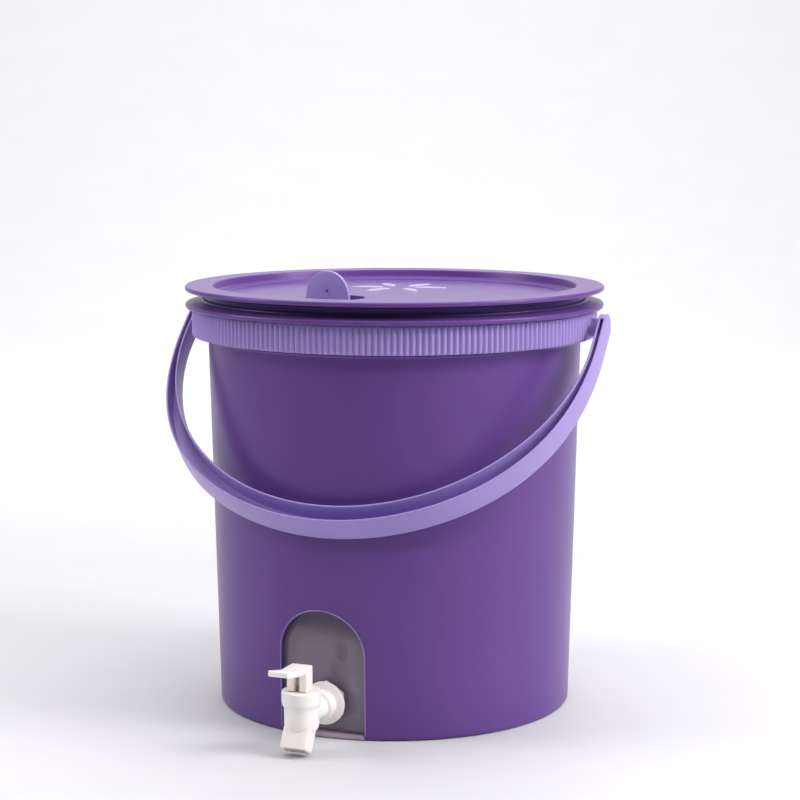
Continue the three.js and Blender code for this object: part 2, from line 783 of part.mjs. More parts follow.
const PIECES = [
  ['bucket_body', bucketBody(), PURPLE],
  ['tap_panel', tapPanel(), SMOKE],
  ['collar_ring', collarRing(), LAVENDER],
  ['bail_handle', bailHandle(), LAVENDER],
  ['pivot_stud_right', pivotStud(1), LAVENDER],
  ['pivot_stud_left', pivotStud(-1), LAVENDER],
  ['lid', lidPlate(), PURPLE],
  ['lid_seal', lidSeal(), SILICONE],
  ['vent_flap', ventFlap(), LAVENDER],
  ['vent_flap_pin', ventFlapPin(), STEEL],
  ['tap_body', tapBody(), WHITE],
  ['tap_hex_nut', hexNut(13.4, 110.5, 113.2), WHITE],
  ['tap_outer_gasket', washer(TAP.gasketR, 108.8, 110.2), SILICONE],
  ['tap_inner_gasket', washer(TAP.gasketR, 101.7, 103.7), SILICONE],
  ['tap_backnut', hexNut(14.6, 96, 101.4), WHITE],
  ['tap_bonnet', tapBonnet(), WHITE],
  ['tap_stem', tapStem(), WHITE],
  ['tap_seat_cup', tapSeatCup(), SILICONE],
  ['tap_spring', tapSpring(), STEEL],
  ['tap_lever', tapLever(), WHITE],
  ['tap_lever_pin', tapLeverPin(), WHITE],
];

const bucket = new THREE.Group();
for (const [name, shape, material] of PIECES) {
  const mesh = new THREE.Mesh(geometryOf(shape), material);
  mesh.name = name;
  bucket.add(mesh);
}

export default bucket;
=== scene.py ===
"""A plastic fermenting bucket with a tap: the looks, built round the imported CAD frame.

Shapes are drawn in millimetres in the frame of the CAD part and scaled to metres at the end.
"""

import json
import math

import bmesh
import bpy
from mathutils import Matrix, Vector


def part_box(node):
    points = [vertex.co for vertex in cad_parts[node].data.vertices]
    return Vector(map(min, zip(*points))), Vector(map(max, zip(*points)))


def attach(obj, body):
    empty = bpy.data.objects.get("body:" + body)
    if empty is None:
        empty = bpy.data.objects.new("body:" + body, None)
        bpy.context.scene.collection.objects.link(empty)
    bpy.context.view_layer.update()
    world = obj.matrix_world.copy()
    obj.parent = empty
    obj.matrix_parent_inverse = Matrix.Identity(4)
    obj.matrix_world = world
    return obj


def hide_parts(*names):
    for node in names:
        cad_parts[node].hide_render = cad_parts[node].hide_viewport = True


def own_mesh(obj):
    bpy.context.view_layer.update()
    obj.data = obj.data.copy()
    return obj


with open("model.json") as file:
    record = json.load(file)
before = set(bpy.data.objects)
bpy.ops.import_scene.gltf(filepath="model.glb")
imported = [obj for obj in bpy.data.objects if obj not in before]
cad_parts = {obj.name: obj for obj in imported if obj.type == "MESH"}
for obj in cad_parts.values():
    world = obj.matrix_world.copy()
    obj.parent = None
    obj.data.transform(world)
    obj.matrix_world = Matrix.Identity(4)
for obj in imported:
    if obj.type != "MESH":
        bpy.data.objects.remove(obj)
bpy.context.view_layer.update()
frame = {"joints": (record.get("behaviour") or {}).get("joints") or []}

MM = 0.001
ROUND = 288  # steps round the tub, lid and collar
SMALL = 96  # steps round the tap's parts
FAR = 170.0  # beyond the tub's wall
GAP = 0.3  # between pieces that touch

JOINTS = {joint["name"]: joint for joint in frame["joints"]}


# ---- where things are -----------------------------------------------------------------------------

def box_mm(node):
    low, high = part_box(node)
    return low / MM, high / MM


def middle_mm(node):
    low, high = box_mm(node)
    return (low + high) / 2


tub_high = box_mm("bucket_body")[1]
lid_low, lid_high = box_mm("lid")
collar_low, collar_high = box_mm("collar_ring")
bonnet_low, bonnet_high = box_mm("tap_bonnet")
panel_low, panel_high = box_mm("tap_panel")

FLANGE_R = tub_high.x
RIM_Z = tub_high.z
LID_R = lid_high.x
LID_TOP = lid_high.z
BARREL_Y = middle_mm("tap_bonnet").y
TAP_Z = middle_mm("tap_backnut").z
PIVOT_Z = JOINTS["bail_swing"]["pos_m"][2] / MM
BAIL_AXIS = Vector(JOINTS["bail_swing"]["axis"])
BAIL_TURN = math.atan2(-BAIL_AXIS.y, -BAIL_AXIS.x)
FLAP_HINGE = Vector(JOINTS["vent_flap_fold"]["pos_m"]) / MM
FLAP_AXIS = Vector(JOINTS["vent_flap_fold"]["axis"])
FLAP_TURN = math.atan2(-FLAP_AXIS.y, -FLAP_AXIS.x)
LEVER_PIN = Vector(JOINTS["tap_lever_press"]["pos_m"]) / MM


# ---- drawing and solids ---------------------------------------------------------------------------

HOLD = 0.6  # from an arc's end to the extra point that keeps the straight beside it flat
HALF_SIDE = 2.01  # an arc uses up no more than a side's length divided by this
HOLD_SIDE = 2.2  # a side gets holding points when it is longer than this many arc reaches


def rounded(points, closed=False, steps=4, hold=HOLD):
    """Replaces each (x, y, radius) corner of an outline by an arc; a corner with no radius stays.

    A long side also gets an extra point beside each arc, hold away, so that its shading stays flat.
    """
    result = []
    count = len(points)
    for i, point in enumerate(points):
        corner = Vector(point[:2])
        radius = point[2] if len(point) > 2 else 0
        if not radius or not (closed or 0 < i < count - 1):
            result.append(corner)
            continue
        before = Vector(points[i - 1][:2]) - corner
        after = Vector(points[(i + 1) % count][:2]) - corner
        half = before.angle(after) / 2
        reach = min(radius / math.tan(half), before.length / HALF_SIDE, after.length / HALF_SIDE)
        start = corner + before.normalized() * reach
        end = corner + after.normalized() * reach
        if hold and before.length > HOLD_SIDE * reach + 2 * hold:
            result.append(start + before.normalized() * hold)
        for k in range(steps + 1):
            t = k / steps
            result.append(start.lerp(corner, t).lerp(corner.lerp(end, t), t))
        if hold and after.length > HOLD_SIDE * reach + 2 * hold:
            result.append(end + after.normalized() * hold)
    return result


def solid(name, vertices, faces):
    """A mesh object from points in millimetres, with its faces turned outwards."""
    mesh = bpy.data.meshes.new(name)
    mesh.from_pydata([Vector(v) for v in vertices], [], faces)
    work = bmesh.new()
    work.from_mesh(mesh)
    bmesh.ops.recalc_face_normals(work, faces=work.faces)
    work.to_mesh(mesh)
    work.free()
    obj = bpy.data.objects.new(name, mesh)
    bpy.context.scene.collection.objects.link(obj)
    return obj


def lathe(name, profile, steps=ROUND, ring=False):
    """A body of revolution about Z from [(r, z)]; a ring's profile closes on itself."""
    vertices, faces, rows = [], [], []
    for r, z in profile:
        if r < 1e-6:
            rows.append([len(vertices)])
            vertices.append((0, 0, z))
            continue
        rows.append(range(len(vertices), len(vertices) + steps))
        for k in range(steps):
            angle = 2 * math.pi * k / steps
            vertices.append((r * math.cos(angle), r * math.sin(angle), z))
    following = rows[1:] + rows[:1] if ring else rows[1:]
    for a, b in zip(rows, following):
        for k in range(steps):
            n = (k + 1) % steps
            if len(a) == 1 and len(b) > 1:
                faces.append((a[0], b[n], b[k]))
            elif len(b) == 1 and len(a) > 1:
                faces.append((a[k], a[n], b[0]))
            elif len(a) > 1:
                faces.append((a[k], a[n], b[n], b[k]))
    return solid(name, vertices, faces)


def loft(name, rings, closed=False):
    """Joins rings of equal length with quads; an open loft gets a cap at each end."""
    count = len(rings[0])
    vertices = [point for ring in rings for point in ring]
    faces = []
    last = len(rings) if closed else len(rings) - 1
    for i in range(last):
        j = (i + 1) % len(rings)
        for k in range(count):
            n = (k + 1) % count
            faces.append((i * count + k, i * count + n, j * count + n, j * count + k))
    if not closed:
        faces.append(tuple(range(count)))
        faces.append(tuple(range(len(vertices) - count, len(vertices))))
    return solid(name, vertices, faces)


def prism(name, outline, z0, z1):
    return loft(name, [[(x, y, z) for x, y in outline] for z in (z0, z1)])


def block(x0, x1, y0, y1, z0, z1):
    return prism("block", [(x0, y0), (x1, y0), (x1, y1), (x0, y1)], z0, z1)


def rod(name, r, z0, z1, steps=SMALL, edge=0.0):
    profile = rounded([(0, z0), (r, z0, edge), (r, z1, edge), (0, z1)], steps=3)
    return lathe(name, profile, steps)


def moved(obj, *matrices):
    for matrix in matrices:
        obj.data.transform(matrix)
    return obj


def shift(x, y, z):
    return Matrix.Translation((x, y, z))


def turn(degrees, axis):
    return Matrix.Rotation(math.radians(degrees), 4, axis)


def cross_rod(name, r, half, y=0.0, z=0.0, steps=32, edge=0.0):
    """A bar parallel to X, from -half to half, centred on (y, z)."""
    return moved(rod(name, r, -half, half, steps, edge), turn(90, "Y"), shift(0, y, z))


def applied(obj):
    """Bakes an object's modifiers into its mesh."""
    graph = bpy.context.evaluated_depsgraph_get()
    mesh = bpy.data.meshes.new_from_object(obj.evaluated_get(graph))
    obj.modifiers.clear()
    obj.data = mesh
    return obj


def combined(base, operation, *tools):
    """Joins, cuts or trims base with each tool, and uses the tools up."""
    for tool in tools:
        modifier = base.modifiers.new("combine", "BOOLEAN")
        modifier.operation = operation
        modifier.solver = "EXACT"
        modifier.object = tool
        applied(base)
        bpy.data.objects.remove(tool)
    return base


def joined(base, *tools):
    return combined(base, "UNION", *tools)


def cut(base, *tools):
    return combined(base, "DIFFERENCE", *tools)


def softened(obj, width, degrees=40, segments=2):
    """Rounds the edges that are sharper than an angle."""
    modifier = obj.modifiers.new("soften", "BEVEL")
    modifier.width = width
    modifier.segments = segments
    modifier.limit_method = "ANGLE"
    modifier.angle_limit = math.radians(degrees)
    return applied(obj)


def piece(obj, name, material, slot, body, *nodes, sharp=32):
    """Finishes a solid as a piece of the model: metres, shading, material, body, replaced nodes."""
    obj.name = name
    mesh = obj.data
    mesh.name = name
    mesh.transform(Matrix.Scale(MM, 4))
    mesh.shade_smooth()
    mesh.set_sharp_from_angle(angle=math.radians(sharp))
    mesh.materials.clear()
    mesh.materials.append(material)
    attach(obj, body)
    if nodes:
        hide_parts(*nodes)
    return obj


# ---- materials ------------------------------------------------------------------------------------

def node(tree, kind, **settings):
    made = tree.nodes.new(kind)
    for key, value in settings.items():
        if hasattr(made, key):
            setattr(made, key, value)
        else:
            made.inputs[key.replace("_", " ")].default_value = value
    return made


CLOUD_SCALE = 14.0  # of the noise in the colour
SPECK_SCALE = 420.0  # in the roughness
GRAIN_SCALE = 1600.0  # in the fine bumps
WAVE_SCALE = 60.0  # in the slow bumps
NOISE_RANGE = (0.3, 0.7)  # the middle part of a noise, which is spread over the whole range


def grained(name, color, roughness, tint=0.06, spread=0.05, grain=0.03, wave=0.02, metallic=0.0,
            coat=0.0, sheen=0.0, scatter=0.0, shine=None, level=0.5):
    """Moulded material: cloudy colour, uneven roughness, fine grain and slow surface waves."""
    material = bpy.data.materials.new(name)
    material.use_nodes = True
    tree = material.node_tree
    shader = tree.nodes["Principled BSDF"]
    link = tree.links.new
    place = node(tree, "ShaderNodeTexCoord")

    def noise(scale, detail):
        made = node(tree, "ShaderNodeTexNoise", Scale=scale, Detail=detail)
        link(place.outputs["Object"], made.inputs["Vector"])
        return made.outputs["Fac"]

    clouds = noise(CLOUD_SCALE, 3.0)
    specks = noise(SPECK_SCALE, 4.0)
    ramp = node(tree, "ShaderNodeValToRGB")
    stops = zip(ramp.color_ramp.elements, (1 - tint, 1 + tint), NOISE_RANGE)
    for stop, factor, position in stops:
        stop.color = (*[min(channel * factor, 1.0) for channel in color], 1.0)
        stop.position = position
    link(clouds, ramp.inputs["Fac"])
    link(ramp.outputs["Color"], shader.inputs["Base Color"])
    gloss = node(tree, "ShaderNodeMapRange")
    gloss.inputs["From Min"].default_value = NOISE_RANGE[0]
    gloss.inputs["From Max"].default_value = NOISE_RANGE[1]
    gloss.inputs["To Min"].default_value = max(roughness - spread, 0.02)
    gloss.inputs["To Max"].default_value = roughness + spread
    link(specks, gloss.inputs["Value"])
    link(gloss.outputs["Result"], shader.inputs["Roughness"])
    fine = node(tree, "ShaderNodeBump", Strength=grain, Distance=0.0004)
    link(noise(GRAIN_SCALE, 2.0), fine.inputs["Height"])
    slow = node(tree, "ShaderNodeBump", Strength=wave, Distance=0.002)
    link(noise(WAVE_SCALE, 2.0), slow.inputs["Height"])
    link(fine.outputs["Normal"], slow.inputs["Normal"])
    link(slow.outputs["Normal"], shader.inputs["Normal"])
    shader.inputs["Metallic"].default_value = metallic
    shader.inputs["Coat Weight"].default_value = coat
    shader.inputs["Coat Roughness"].default_value = 0.25
    shader.inputs["Sheen Weight"].default_value = sheen
    shader.inputs["Sheen Roughness"].default_value = 0.4
    shader.inputs["Specular IOR Level"].default_value = level
    if shine:
        shader.inputs["Specular Tint"].default_value = (*shine, 1.0)
    if scatter:
        shader.inputs["Subsurface Weight"].default_value = scatter
        shader.inputs["Subsurface Scale"].default_value = 0.002
    return material


PURPLE = grained("purple plastic", (0.118, 0.053, 0.245), 0.33, spread=0.012, sheen=0.03,
                level=0.4, shine=(0.85, 0.66, 0.98))
# a lighter purple for the recess's bead: a painted highlight along the lip's edge
EDGE_HIGHLIGHT = grained("purple painted edge highlight", (0.27, 0.15, 0.42), 0.30, tint=0.04)
LAVENDER = grained("lavender plastic", (0.35, 0.26, 0.60), 0.34, tint=0.04, spread=0.02, sheen=0.03,
                   shine=(0.9, 0.8, 1.0))
WHITE = grained("white plastic", (0.95, 0.90, 0.87), 0.33, tint=0.02, scatter=0.35)
AMBER = grained("stem plastic", (0.62, 0.50, 0.38), 0.35, tint=0.05, scatter=0.2)
SMOKE = grained("smoked plastic", (0.175, 0.145, 0.20), 0.07, tint=0.08, spread=0.02, grain=0.004,
                wave=0.004, coat=0.4)
MAUVE = grained("mauve plastic", (0.42, 0.33, 0.43), 0.30, tint=0.04)
# pale colour for the lid's raised pads: a painted highlight; the pads' shape is real
PALE_PAD_HIGHLIGHT = grained("pale purple painted highlight", (0.45, 0.34, 0.55), 0.35, tint=0.04, sheen=0.1)
SILICONE = grained("silicone", (0.70, 0.70, 0.72), 0.55, tint=0.04, scatter=0.3)
STEEL = grained("stainless steel", (0.62, 0.62, 0.64), 0.26, tint=0.05, metallic=1.0)


# ---- camera, floor and lights ---------------------------------------------------------------------

VIEW_AZIMUTH = 22.0  # degrees from the front towards +X
VIEW_PITCH = math.radians(7.85)
VIEW_DISTANCE = 1.4
VIEW_HEIGHT = 0.388
VIEW_SIDE = 0.0035
SENSOR = 36.0
FOCAL_WIDTHS = 2170.0 / 800.0


def add_camera():
    data = bpy.data.cameras.new("camera")
    data.sensor_width = SENSOR
    data.lens = SENSOR * FOCAL_WIDTHS
    camera = bpy.data.objects.new("camera", data)
    azimuth = math.radians(VIEW_AZIMUTH)
    back = Vector((math.sin(azimuth), -math.cos(azimuth), 0))
    side = Vector((math.cos(azimuth), math.sin(azimuth), 0))
    camera.location = VIEW_DISTANCE * back + VIEW_SIDE * side + Vector((0, 0, VIEW_HEIGHT))
    camera.rotation_euler = (math.pi / 2 - VIEW_PITCH, 0, azimuth)
    bpy.context.scene.collection.objects.link(camera)
    bpy.context.scene.camera = camera


def add_sweep():
    """A pale floor that curves up into a wall on the far side of the camera."""
    side, front, back, height, bend = 9.0, -9.0, 3.6, 5.0, 1.6
    profile = [(front, 0.0)]
    profile += [(back - bend + bend * math.sin(a), bend - bend * math.cos(a))
                for a in (math.pi / 2 * k / 24 for k in range(25))]
    profile += [(back, height)]
    vertices = [(x, y, z) for x in (-side, side) for y, z in profile]
    count = len(profile)
    faces = [(k, k + 1, count + k + 1, count + k) for k in range(count - 1)]
    sweep = solid("sweep", vertices, faces)
    sweep.data.shade_smooth()
    sweep.data.materials.append(
        grained("floor", (0.64, 0.64, 0.66), 0.6, tint=0.01, grain=0.005, wave=0.0))
    sweep.rotation_euler.z = math.radians(VIEW_AZIMUTH)
    sweep.location.z = -0.0002


MIDDLE = Vector((0, 0, 0.14))


def towards(azimuth, elevation, distance):
    """A point at a distance from the object's middle; the azimuth runs from the front towards +X."""
    a, e = math.radians(azimuth), math.radians(elevation)
    away = Vector((math.sin(a) * math.cos(e), -math.cos(a) * math.cos(e), math.sin(e)))
    return MIDDLE + distance * away


def add_light(name, place, size, watts, color=(1, 1, 1), aim=MIDDLE):
    data = bpy.data.lights.new(name, "AREA")
    data.shape = "RECTANGLE"
    data.size, data.size_y = size
    data.energy = watts
    data.color = color
    light = bpy.data.objects.new(name, data)
    light.location = place
    light.rotation_euler = (place - aim).to_track_quat("Z", "Y").to_euler()
    bpy.context.scene.collection.objects.link(light)


def add_world():
    world = bpy.data.worlds.new("studio")
    bpy.context.scene.world = world
    world.use_nodes = True
    background = world.node_tree.nodes["Background"]
    background.inputs["Color"].default_value = (0.94, 0.94, 1.0, 1.0)
    background.inputs["Strength"].default_value = 0.09


add_camera()
add_sweep()
add_world()
bpy.context.scene.view_settings.view_transform = "Standard"
add_light("key", towards(92, 32, 1.7), (0.7, 1.0), 25, (1.0, 0.97, 0.98))
add_light("fill", towards(-64, 30, 1.8), (0.7, 1.0), 14, (1.0, 0.96, 0.98))
add_light("top", towards(190, 78, 1.7), (2.0, 2.0), 36)
add_light("front strip", towards(34, 46, 1.6), (1.6, 0.10), 6, (1.0, 0.98, 0.97))
add_light("wall wash", towards(202, 58, 2.0), (4.0, 0.6), 95, aim=towards(202, 14, 3.6))


# ---- tub ------------------------------------------------------------------------------------------

CONE_FOOT_R = 114.3  # the wall's radius carried down to z = 0
CONE_TOP_R = 120.8
CONE_TOP_Z = 256.0
WALL = 2.2
BEAD_Z = collar_low.z - 1.5
NECK_R = 121.8
NECK_INNER_R = 119.6
FLOOR_Z = 2.6
ARCH_X = (panel_low.x + panel_high.x) / 2
ARCH_HALF = (panel_high.x - panel_low.x) / 2 + GAP
ARCH_SPRING_Z = 52.0
ARCH_TOP_Z = panel_high.z + GAP
RECESS_BACK = 106.2
PANEL_FRONT = 108.5
SILL_TOP_Z = 3.0
TAP_HOLE_R = 8.0  # in the wall, the panel, the nuts and the gaskets


def wall_radius(z):
    return CONE_FOOT_R + (CONE_TOP_R - CONE_FOOT_R) * z / CONE_TOP_Z


def tub_outer_profile():
    foot_r = wall_radius(0)
    return rounded([
        (0, 0.5), (92, 0.5, 0.5), (94, 0, 0.5), (foot_r, 0, 2.2),
        (wall_radius(BEAD_Z - 1.3), BEAD_Z - 1.3, 0.4), (wall_radius(BEAD_Z) + 0.5, BEAD_Z, 0.8),
        (wall_radius(BEAD_Z + 1.3), BEAD_Z + 1.3, 0.4), (CONE_TOP_R, CONE_TOP_Z + 0.8, 0.8),
        (FLANGE_R, CONE_TOP_Z + 0.8, 1.5), (FLANGE_R, 259.9, 1.4), (127.6, 260.6, 5),
        (124.3, 261.3, 0.8), (123.9, 262.6, 0.7), (NECK_R, 262.9, 0.4),
        (NECK_R, RIM_Z, 0.8), (120.7, RIM_Z),
    ])


def tub_inner_profile():
    foot_r = wall_radius(FLOOR_Z) - WALL
    return rounded([
        (120.7, RIM_Z), (NECK_INNER_R, RIM_Z, 0.8), (NECK_INNER_R, CONE_TOP_Z + 1, 1.5),
        (CONE_TOP_R - WALL, CONE_TOP_Z - 1, 1.5), (foot_r, FLOOR_Z, 4.5), (0, FLOOR_Z),
    ])


def arch_outline(grow, bottom=-6.0, steps=64):
    """The recess's outline as (x, z), grown outwards."""
    half = ARCH_HALF + grow
    rise = ARCH_TOP_Z + grow - ARCH_SPRING_Z
    sides = [bottom + (ARCH_SPRING_Z - bottom) * k / 12 for k in range(12)]
    right = [(half, z) for z in sides]
    arch = [(half * math.cos(a), ARCH_SPRING_Z + rise * math.sin(a))
            for a in (math.pi * k / steps for k in range(steps + 1))]
    left = [(-half, z) for z in reversed(sides)]
    return [(ARCH_X + x, z) for x, z in right + arch + left]


def wall_y(x, z):
    return -math.sqrt(wall_radius(z) ** 2 - x ** 2)


# the recess's lip, as (outwards from the arch, outwards from the wall)
LIP = ((2.4, 1.6), (0.8, 0.0), (0.42, -0.28), (0.14, -0.62), (0.0, -1.1))


def recess_cutter():
    """What is cut away for the recess, with a lip that follows the round wall."""
    rings = [[(x, -FAR, z) for x, z in arch_outline(LIP[0][0])]]
    for grow, out in LIP:
        rings.append([(x, wall_y(x, z) - out, z) for x, z in arch_outline(grow)])
    rings.append([(x, -RECESS_BACK, z) for x, z in arch_outline(0.0)])
    return loft("recess", rings)


def add_arch_bead():
    """A thin bead that follows the recess's edge on the round wall, coloured lighter than the tub as a
    painted highlight along the lip.
    """
    r, around, sunk = 0.45, 10, 0.1
    line = arch_outline(0.55, bottom=2.4)
    rings = []
    for i, (x, z) in enumerate(line):
        before = Vector(line[max(i - 1, 0)])
        after = Vector(line[min(i + 1, len(line) - 1)])
        along = (after - before).normalized()
        out = Vector((along.y, -along.x))
        rings.append([(x + out.x * r * math.cos(b), wall_y(x, z) - sunk - r * math.sin(b),
                       z + out.y * r * math.cos(b))
                      for b in (2 * math.pi * j / around for j in range(around))])
    piece(loft("bead", rings), "recess_edge_bead", EDGE_HIGHLIGHT, "tub_plastic", "bucket")


def along_tap(obj):
    return moved(obj, turn(90, "X"), shift(0, 0, TAP_Z))


def add_tub():
    outer, inner = tub_outer_profile(), tub_inner_profile()
    tub = lathe("tub", outer + inner[1:])
    envelope = lathe("envelope", rounded([
        (0, 0.6), (wall_radius(0) - 1.2, 0.6, 1.5), (wall_radius(90) - 0.8, 90), (0, 90)]))
    pocket = prism("pocket", arch_outline(WALL, bottom=0.7), RECESS_BACK - WALL, FAR)
    moved(pocket, turn(90, "X"))
    combined(envelope, "INTERSECT", pocket)
    joined(tub, envelope)
    shank_hole = along_tap(rod("hole", TAP_HOLE_R, 90, FAR))
    cut(tub, recess_cutter(), shank_hole)
    piece(tub, "tub", PURPLE, "tub_plastic", "bucket", "bucket_body")


def add_panel():
    bottom = panel_low.z
    plate = prism("panel", arch_outline(-GAP, bottom=bottom), -panel_high.y, PANEL_FRONT)
    moved(plate, turn(90, "X"))
    sill_r = wall_radius(SILL_TOP_Z)
    half = ARCH_HALF - GAP
    across = [ARCH_X + half - 2 * half * k / 32 for k in range(33)]
    outline = [(across[0], -PANEL_FRONT)]
    outline += [(x, -math.sqrt(sill_r ** 2 - x ** 2)) for x in across]
    outline += [(across[-1], -PANEL_FRONT)]
    sill = softened(prism("sill", outline, bottom, SILL_TOP_Z), 0.5, 50, 3)
    cut(plate, along_tap(rod("hole", TAP_HOLE_R, 90, FAR)))
    softened(plate, 0.35)
    piece(plate, "tap_window_panel", SMOKE, "panel_plastic", "bucket", "tap_panel")
    piece(sill, "tap_window_sill", MAUVE, "panel_plastic", "bucket", "tap_panel")


# ---- collar ring and bail -------------------------------------------------------------------------

COLLAR_R = 130.7
COLLAR_WALL = 2.2
SLEEVE_R = 121.6
SLEEVE_WALL = 1.8
RIBS = 218
RIB_STEPS = 6
RIB_DEPTH = 1.4
BOSS_R = 5.8
BOSS_END = 136.2
PIVOT_HOLE_R = 2.5
PLAIN_HALF = math.radians(3.2)  # smooth arc on either side of a boss
PLAIN_FADE = math.radians(3.0)


def on_collar(obj):
    return moved(obj, Matrix.Rotation(BAIL_TURN, 4, "Z"))


def at_pivot(obj, side):
    """Turns what is drawn about Z to point outwards along the pivots' axis, at the pivots' height."""
    return moved(obj, turn(side * 90, "Y"), shift(0, 0, PIVOT_Z))


def groove(angle):
    """How deep the groove is at an angle from the right-hand pivot, from 0 to 1."""
    phase = (angle * RIBS / (2 * math.pi)) % 1
    shape = (0.5 - 0.5 * math.cos(2 * math.pi * phase)) ** 1.6
    from_boss = abs((angle + math.pi / 2) % math.pi - math.pi / 2)
    fade = min(max((from_boss - PLAIN_HALF) / PLAIN_FADE, 0), 1)
    return shape * fade * fade * (3 - 2 * fade)


def add_collar():
    bottom, top = collar_low.z, collar_high.z
    r, wall, sleeve_outer = COLLAR_R, COLLAR_WALL, SLEEVE_R + SLEEVE_WALL
    steps = RIBS * RIB_STEPS
    # each point of the section: r, z, and how far the grooves reach into it
    section = [(SLEEVE_R, bottom, 0), (r - 2.2, bottom, 0), (r - 1.3, bottom + 0.05, 1),
               (r - 0.5, bottom + 0.35, 1), (r - 0.1, bottom + 1.0, 1), (r, bottom + 1.8, 1),
               (r, top - 1.2, 1), (r - 0.25, top - 0.4, 1), (r - 0.8, top, 0.6),
               (r - wall, top, 0), (r - wall, bottom + wall, 0),
               (sleeve_outer, bottom + wall, 0), (sleeve_outer, top, 0), (SLEEVE_R, top, 0)]
    rings = []
    for k in range(steps):
        angle = 2 * math.pi * k / steps
        depth = groove(angle) * RIB_DEPTH
        rings.append([((radius - share * depth) * math.cos(angle),
                       (radius - share * depth) * math.sin(angle), z)
                      for radius, z, share in section])
    collar = loft("collar", rings, closed=True)
    for side in (1, -1):
        profile = rounded([(0, r - wall - 0.6), (BOSS_R, r - wall - 0.6), (BOSS_R + 1, r - 0.2, 1),
                           (BOSS_R, r + 1.1, 1.2), (BOSS_R, BOSS_END, 0.5), (0, BOSS_END)])
        joined(collar, at_pivot(lathe("boss", profile, 64), side))
        cut(collar, at_pivot(rod("hole", PIVOT_HOLE_R, r - wall - 2, FAR, 48), side))
    on_collar(collar)
    piece(collar, "ribbed_collar", LAVENDER, "trim_plastic", "bucket", "collar_ring", sharp=40)


BAIL_TILT = 49.2
BAIL_HALF = 136.6
BAIL_LEG = 21.5
BAIL_DEPTH = 139.5
LEG_THICKNESS = 4.7
BOW_THICKNESS = 12.2
TAPER_START = 28.0
TAPER_LENGTH = 112.0
STRAP_HALF = 8.65  # to the front and rear of the pivot axis, and the radius of the round ends
WEB_BACK = -5.05
WEB = 1.6
BAIL_WALL = 1.3


def strap_thickness(down):
    share = min(max((down - TAPER_START) / TAPER_LENGTH, 0), 1)
    return LEG_THICKNESS + (BOW_THICKNESS - LEG_THICKNESS) * share * share * (3 - 2 * share)


def bail_section(thickness):
    """The strap's section, as (outwards from the inner rim, towards the front)."""
    inner, outer = BAIL_WALL, thickness - BAIL_WALL
    return rounded([
        (0, STRAP_HALF, 0.6), (inner, STRAP_HALF, 0.5), (inner, WEB_BACK + WEB, 0.5),
        (outer, WEB_BACK + WEB, 0.5), (outer, STRAP_HALF, 0.5), (thickness, STRAP_HALF, 0.6),
        (thickness, -STRAP_HALF, 0.6), (outer, -STRAP_HALF, 0.4), (outer, WEB_BACK, 0.3),
        (0, WEB_BACK, 0.6)], closed=True, steps=4, hold=0)


def bail_path():
    """Points on the inner rim, hanging down from the pivots, with their outward normals."""
    steps = 128
    top = STRAP_HALF + 2
    path = [(Vector((-BAIL_HALF, top)), Vector((-1, 0)))]
    for k in range(steps + 1):
        angle = math.pi * (k / steps - 0.5)
        rim = Vector((BAIL_HALF * math.sin(angle), -BAIL_DEPTH * math.cos(angle)))
        normal = Vector((rim.x / BAIL_HALF ** 2, rim.y / BAIL_DEPTH ** 2)).normalized()
        path.append((rim - Vector((0, BAIL_LEG)), normal))
    path.append((Vector((BAIL_HALF, top)), Vector((1, 0))))
    return path


def arc(radius, start, end, steps=24):
    """Points on an arc about the pivot, as (front, up), between two angles from the front."""
    angles = [start + (end - start) * k / steps for k in range(steps + 1)]
    return [(radius * math.cos(a), radius * math.sin(a)) for a in angles]


def across_bail(outline, x0, x1):
    """A prism along X whose outline is drawn as (front, up)."""
    return loft("across", [[(x, up, front) for front, up in outline] for x in (x0, x1)])


def bail_trim():
    """Keeps what lies inside the legs' round upper ends."""
    r = STRAP_HALF + 0.01
    return across_bail([(r, -260)] + arc(r, 0, math.pi, 48) + [(-r, -260)], -200, 200)


def end_wall(x0, x1):
    """Closes a leg's channel round its upper end."""
    inner = STRAP_HALF - BAIL_WALL
    outer_stop = math.acos(WEB_BACK / STRAP_HALF)
    inner_stop = math.acos(WEB_BACK / inner)
    return across_bail(arc(STRAP_HALF, 0, outer_stop) + arc(inner, inner_stop, 0), x0, x1)


def add_bail():
    rings = []
    for rim, normal in bail_path():
        ring = []
        for outward, front in bail_section(strap_thickness(-rim.y)):
            at = rim + normal * outward
            ring.append((at.x, at.y, front))
        rings.append(ring)
    bail = loft("bail", rings)
    near, far = BAIL_HALF, BAIL_HALF + LEG_THICKNESS
    inset = 0.02  # keeps the end wall's faces off the leg's
    for side in (1, -1):
        x0, x1 = sorted((side * (near + inset), side * (far - inset)))
        joined(bail, end_wall(x0, x1))
        hole = rod("hole", PIVOT_HOLE_R, near - 2, near + BAIL_WALL + 1, 48)
        cut(bail, moved(hole, turn(side * 90, "Y")))
    combined(bail, "INTERSECT", bail_trim())
    moved(bail, turn(90, "X"), turn(-BAIL_TILT, "X"), shift(0, 0, PIVOT_Z))
    on_collar(bail)
    piece(bail, "bail", LAVENDER, "trim_plastic", "bail", "bail_handle")


def add_studs():
    inner_end, pin_r, head_r = 126, 2.2, 3.0
    head = BAIL_HALF + BAIL_WALL + GAP
    profile = rounded([(0, inner_end), (pin_r - 0.4, inner_end, 0.2), (pin_r, inner_end + 0.8),
                       (pin_r, head), (head_r, head, 0.3), (head_r, head + 1.3, 0.7),
                       (0, head + 1.3)])
    for side, name in ((1, "right"), (-1, "left")):
        stud = at_pivot(lathe("stud", profile, 48), side)
        piece(on_collar(stud), "pivot_stud_" + name + "_round", LAVENDER, "trim_plastic", "bucket",
              "pivot_stud_" + name)


# ---- lid ------------------------------------------------------------------------------------------

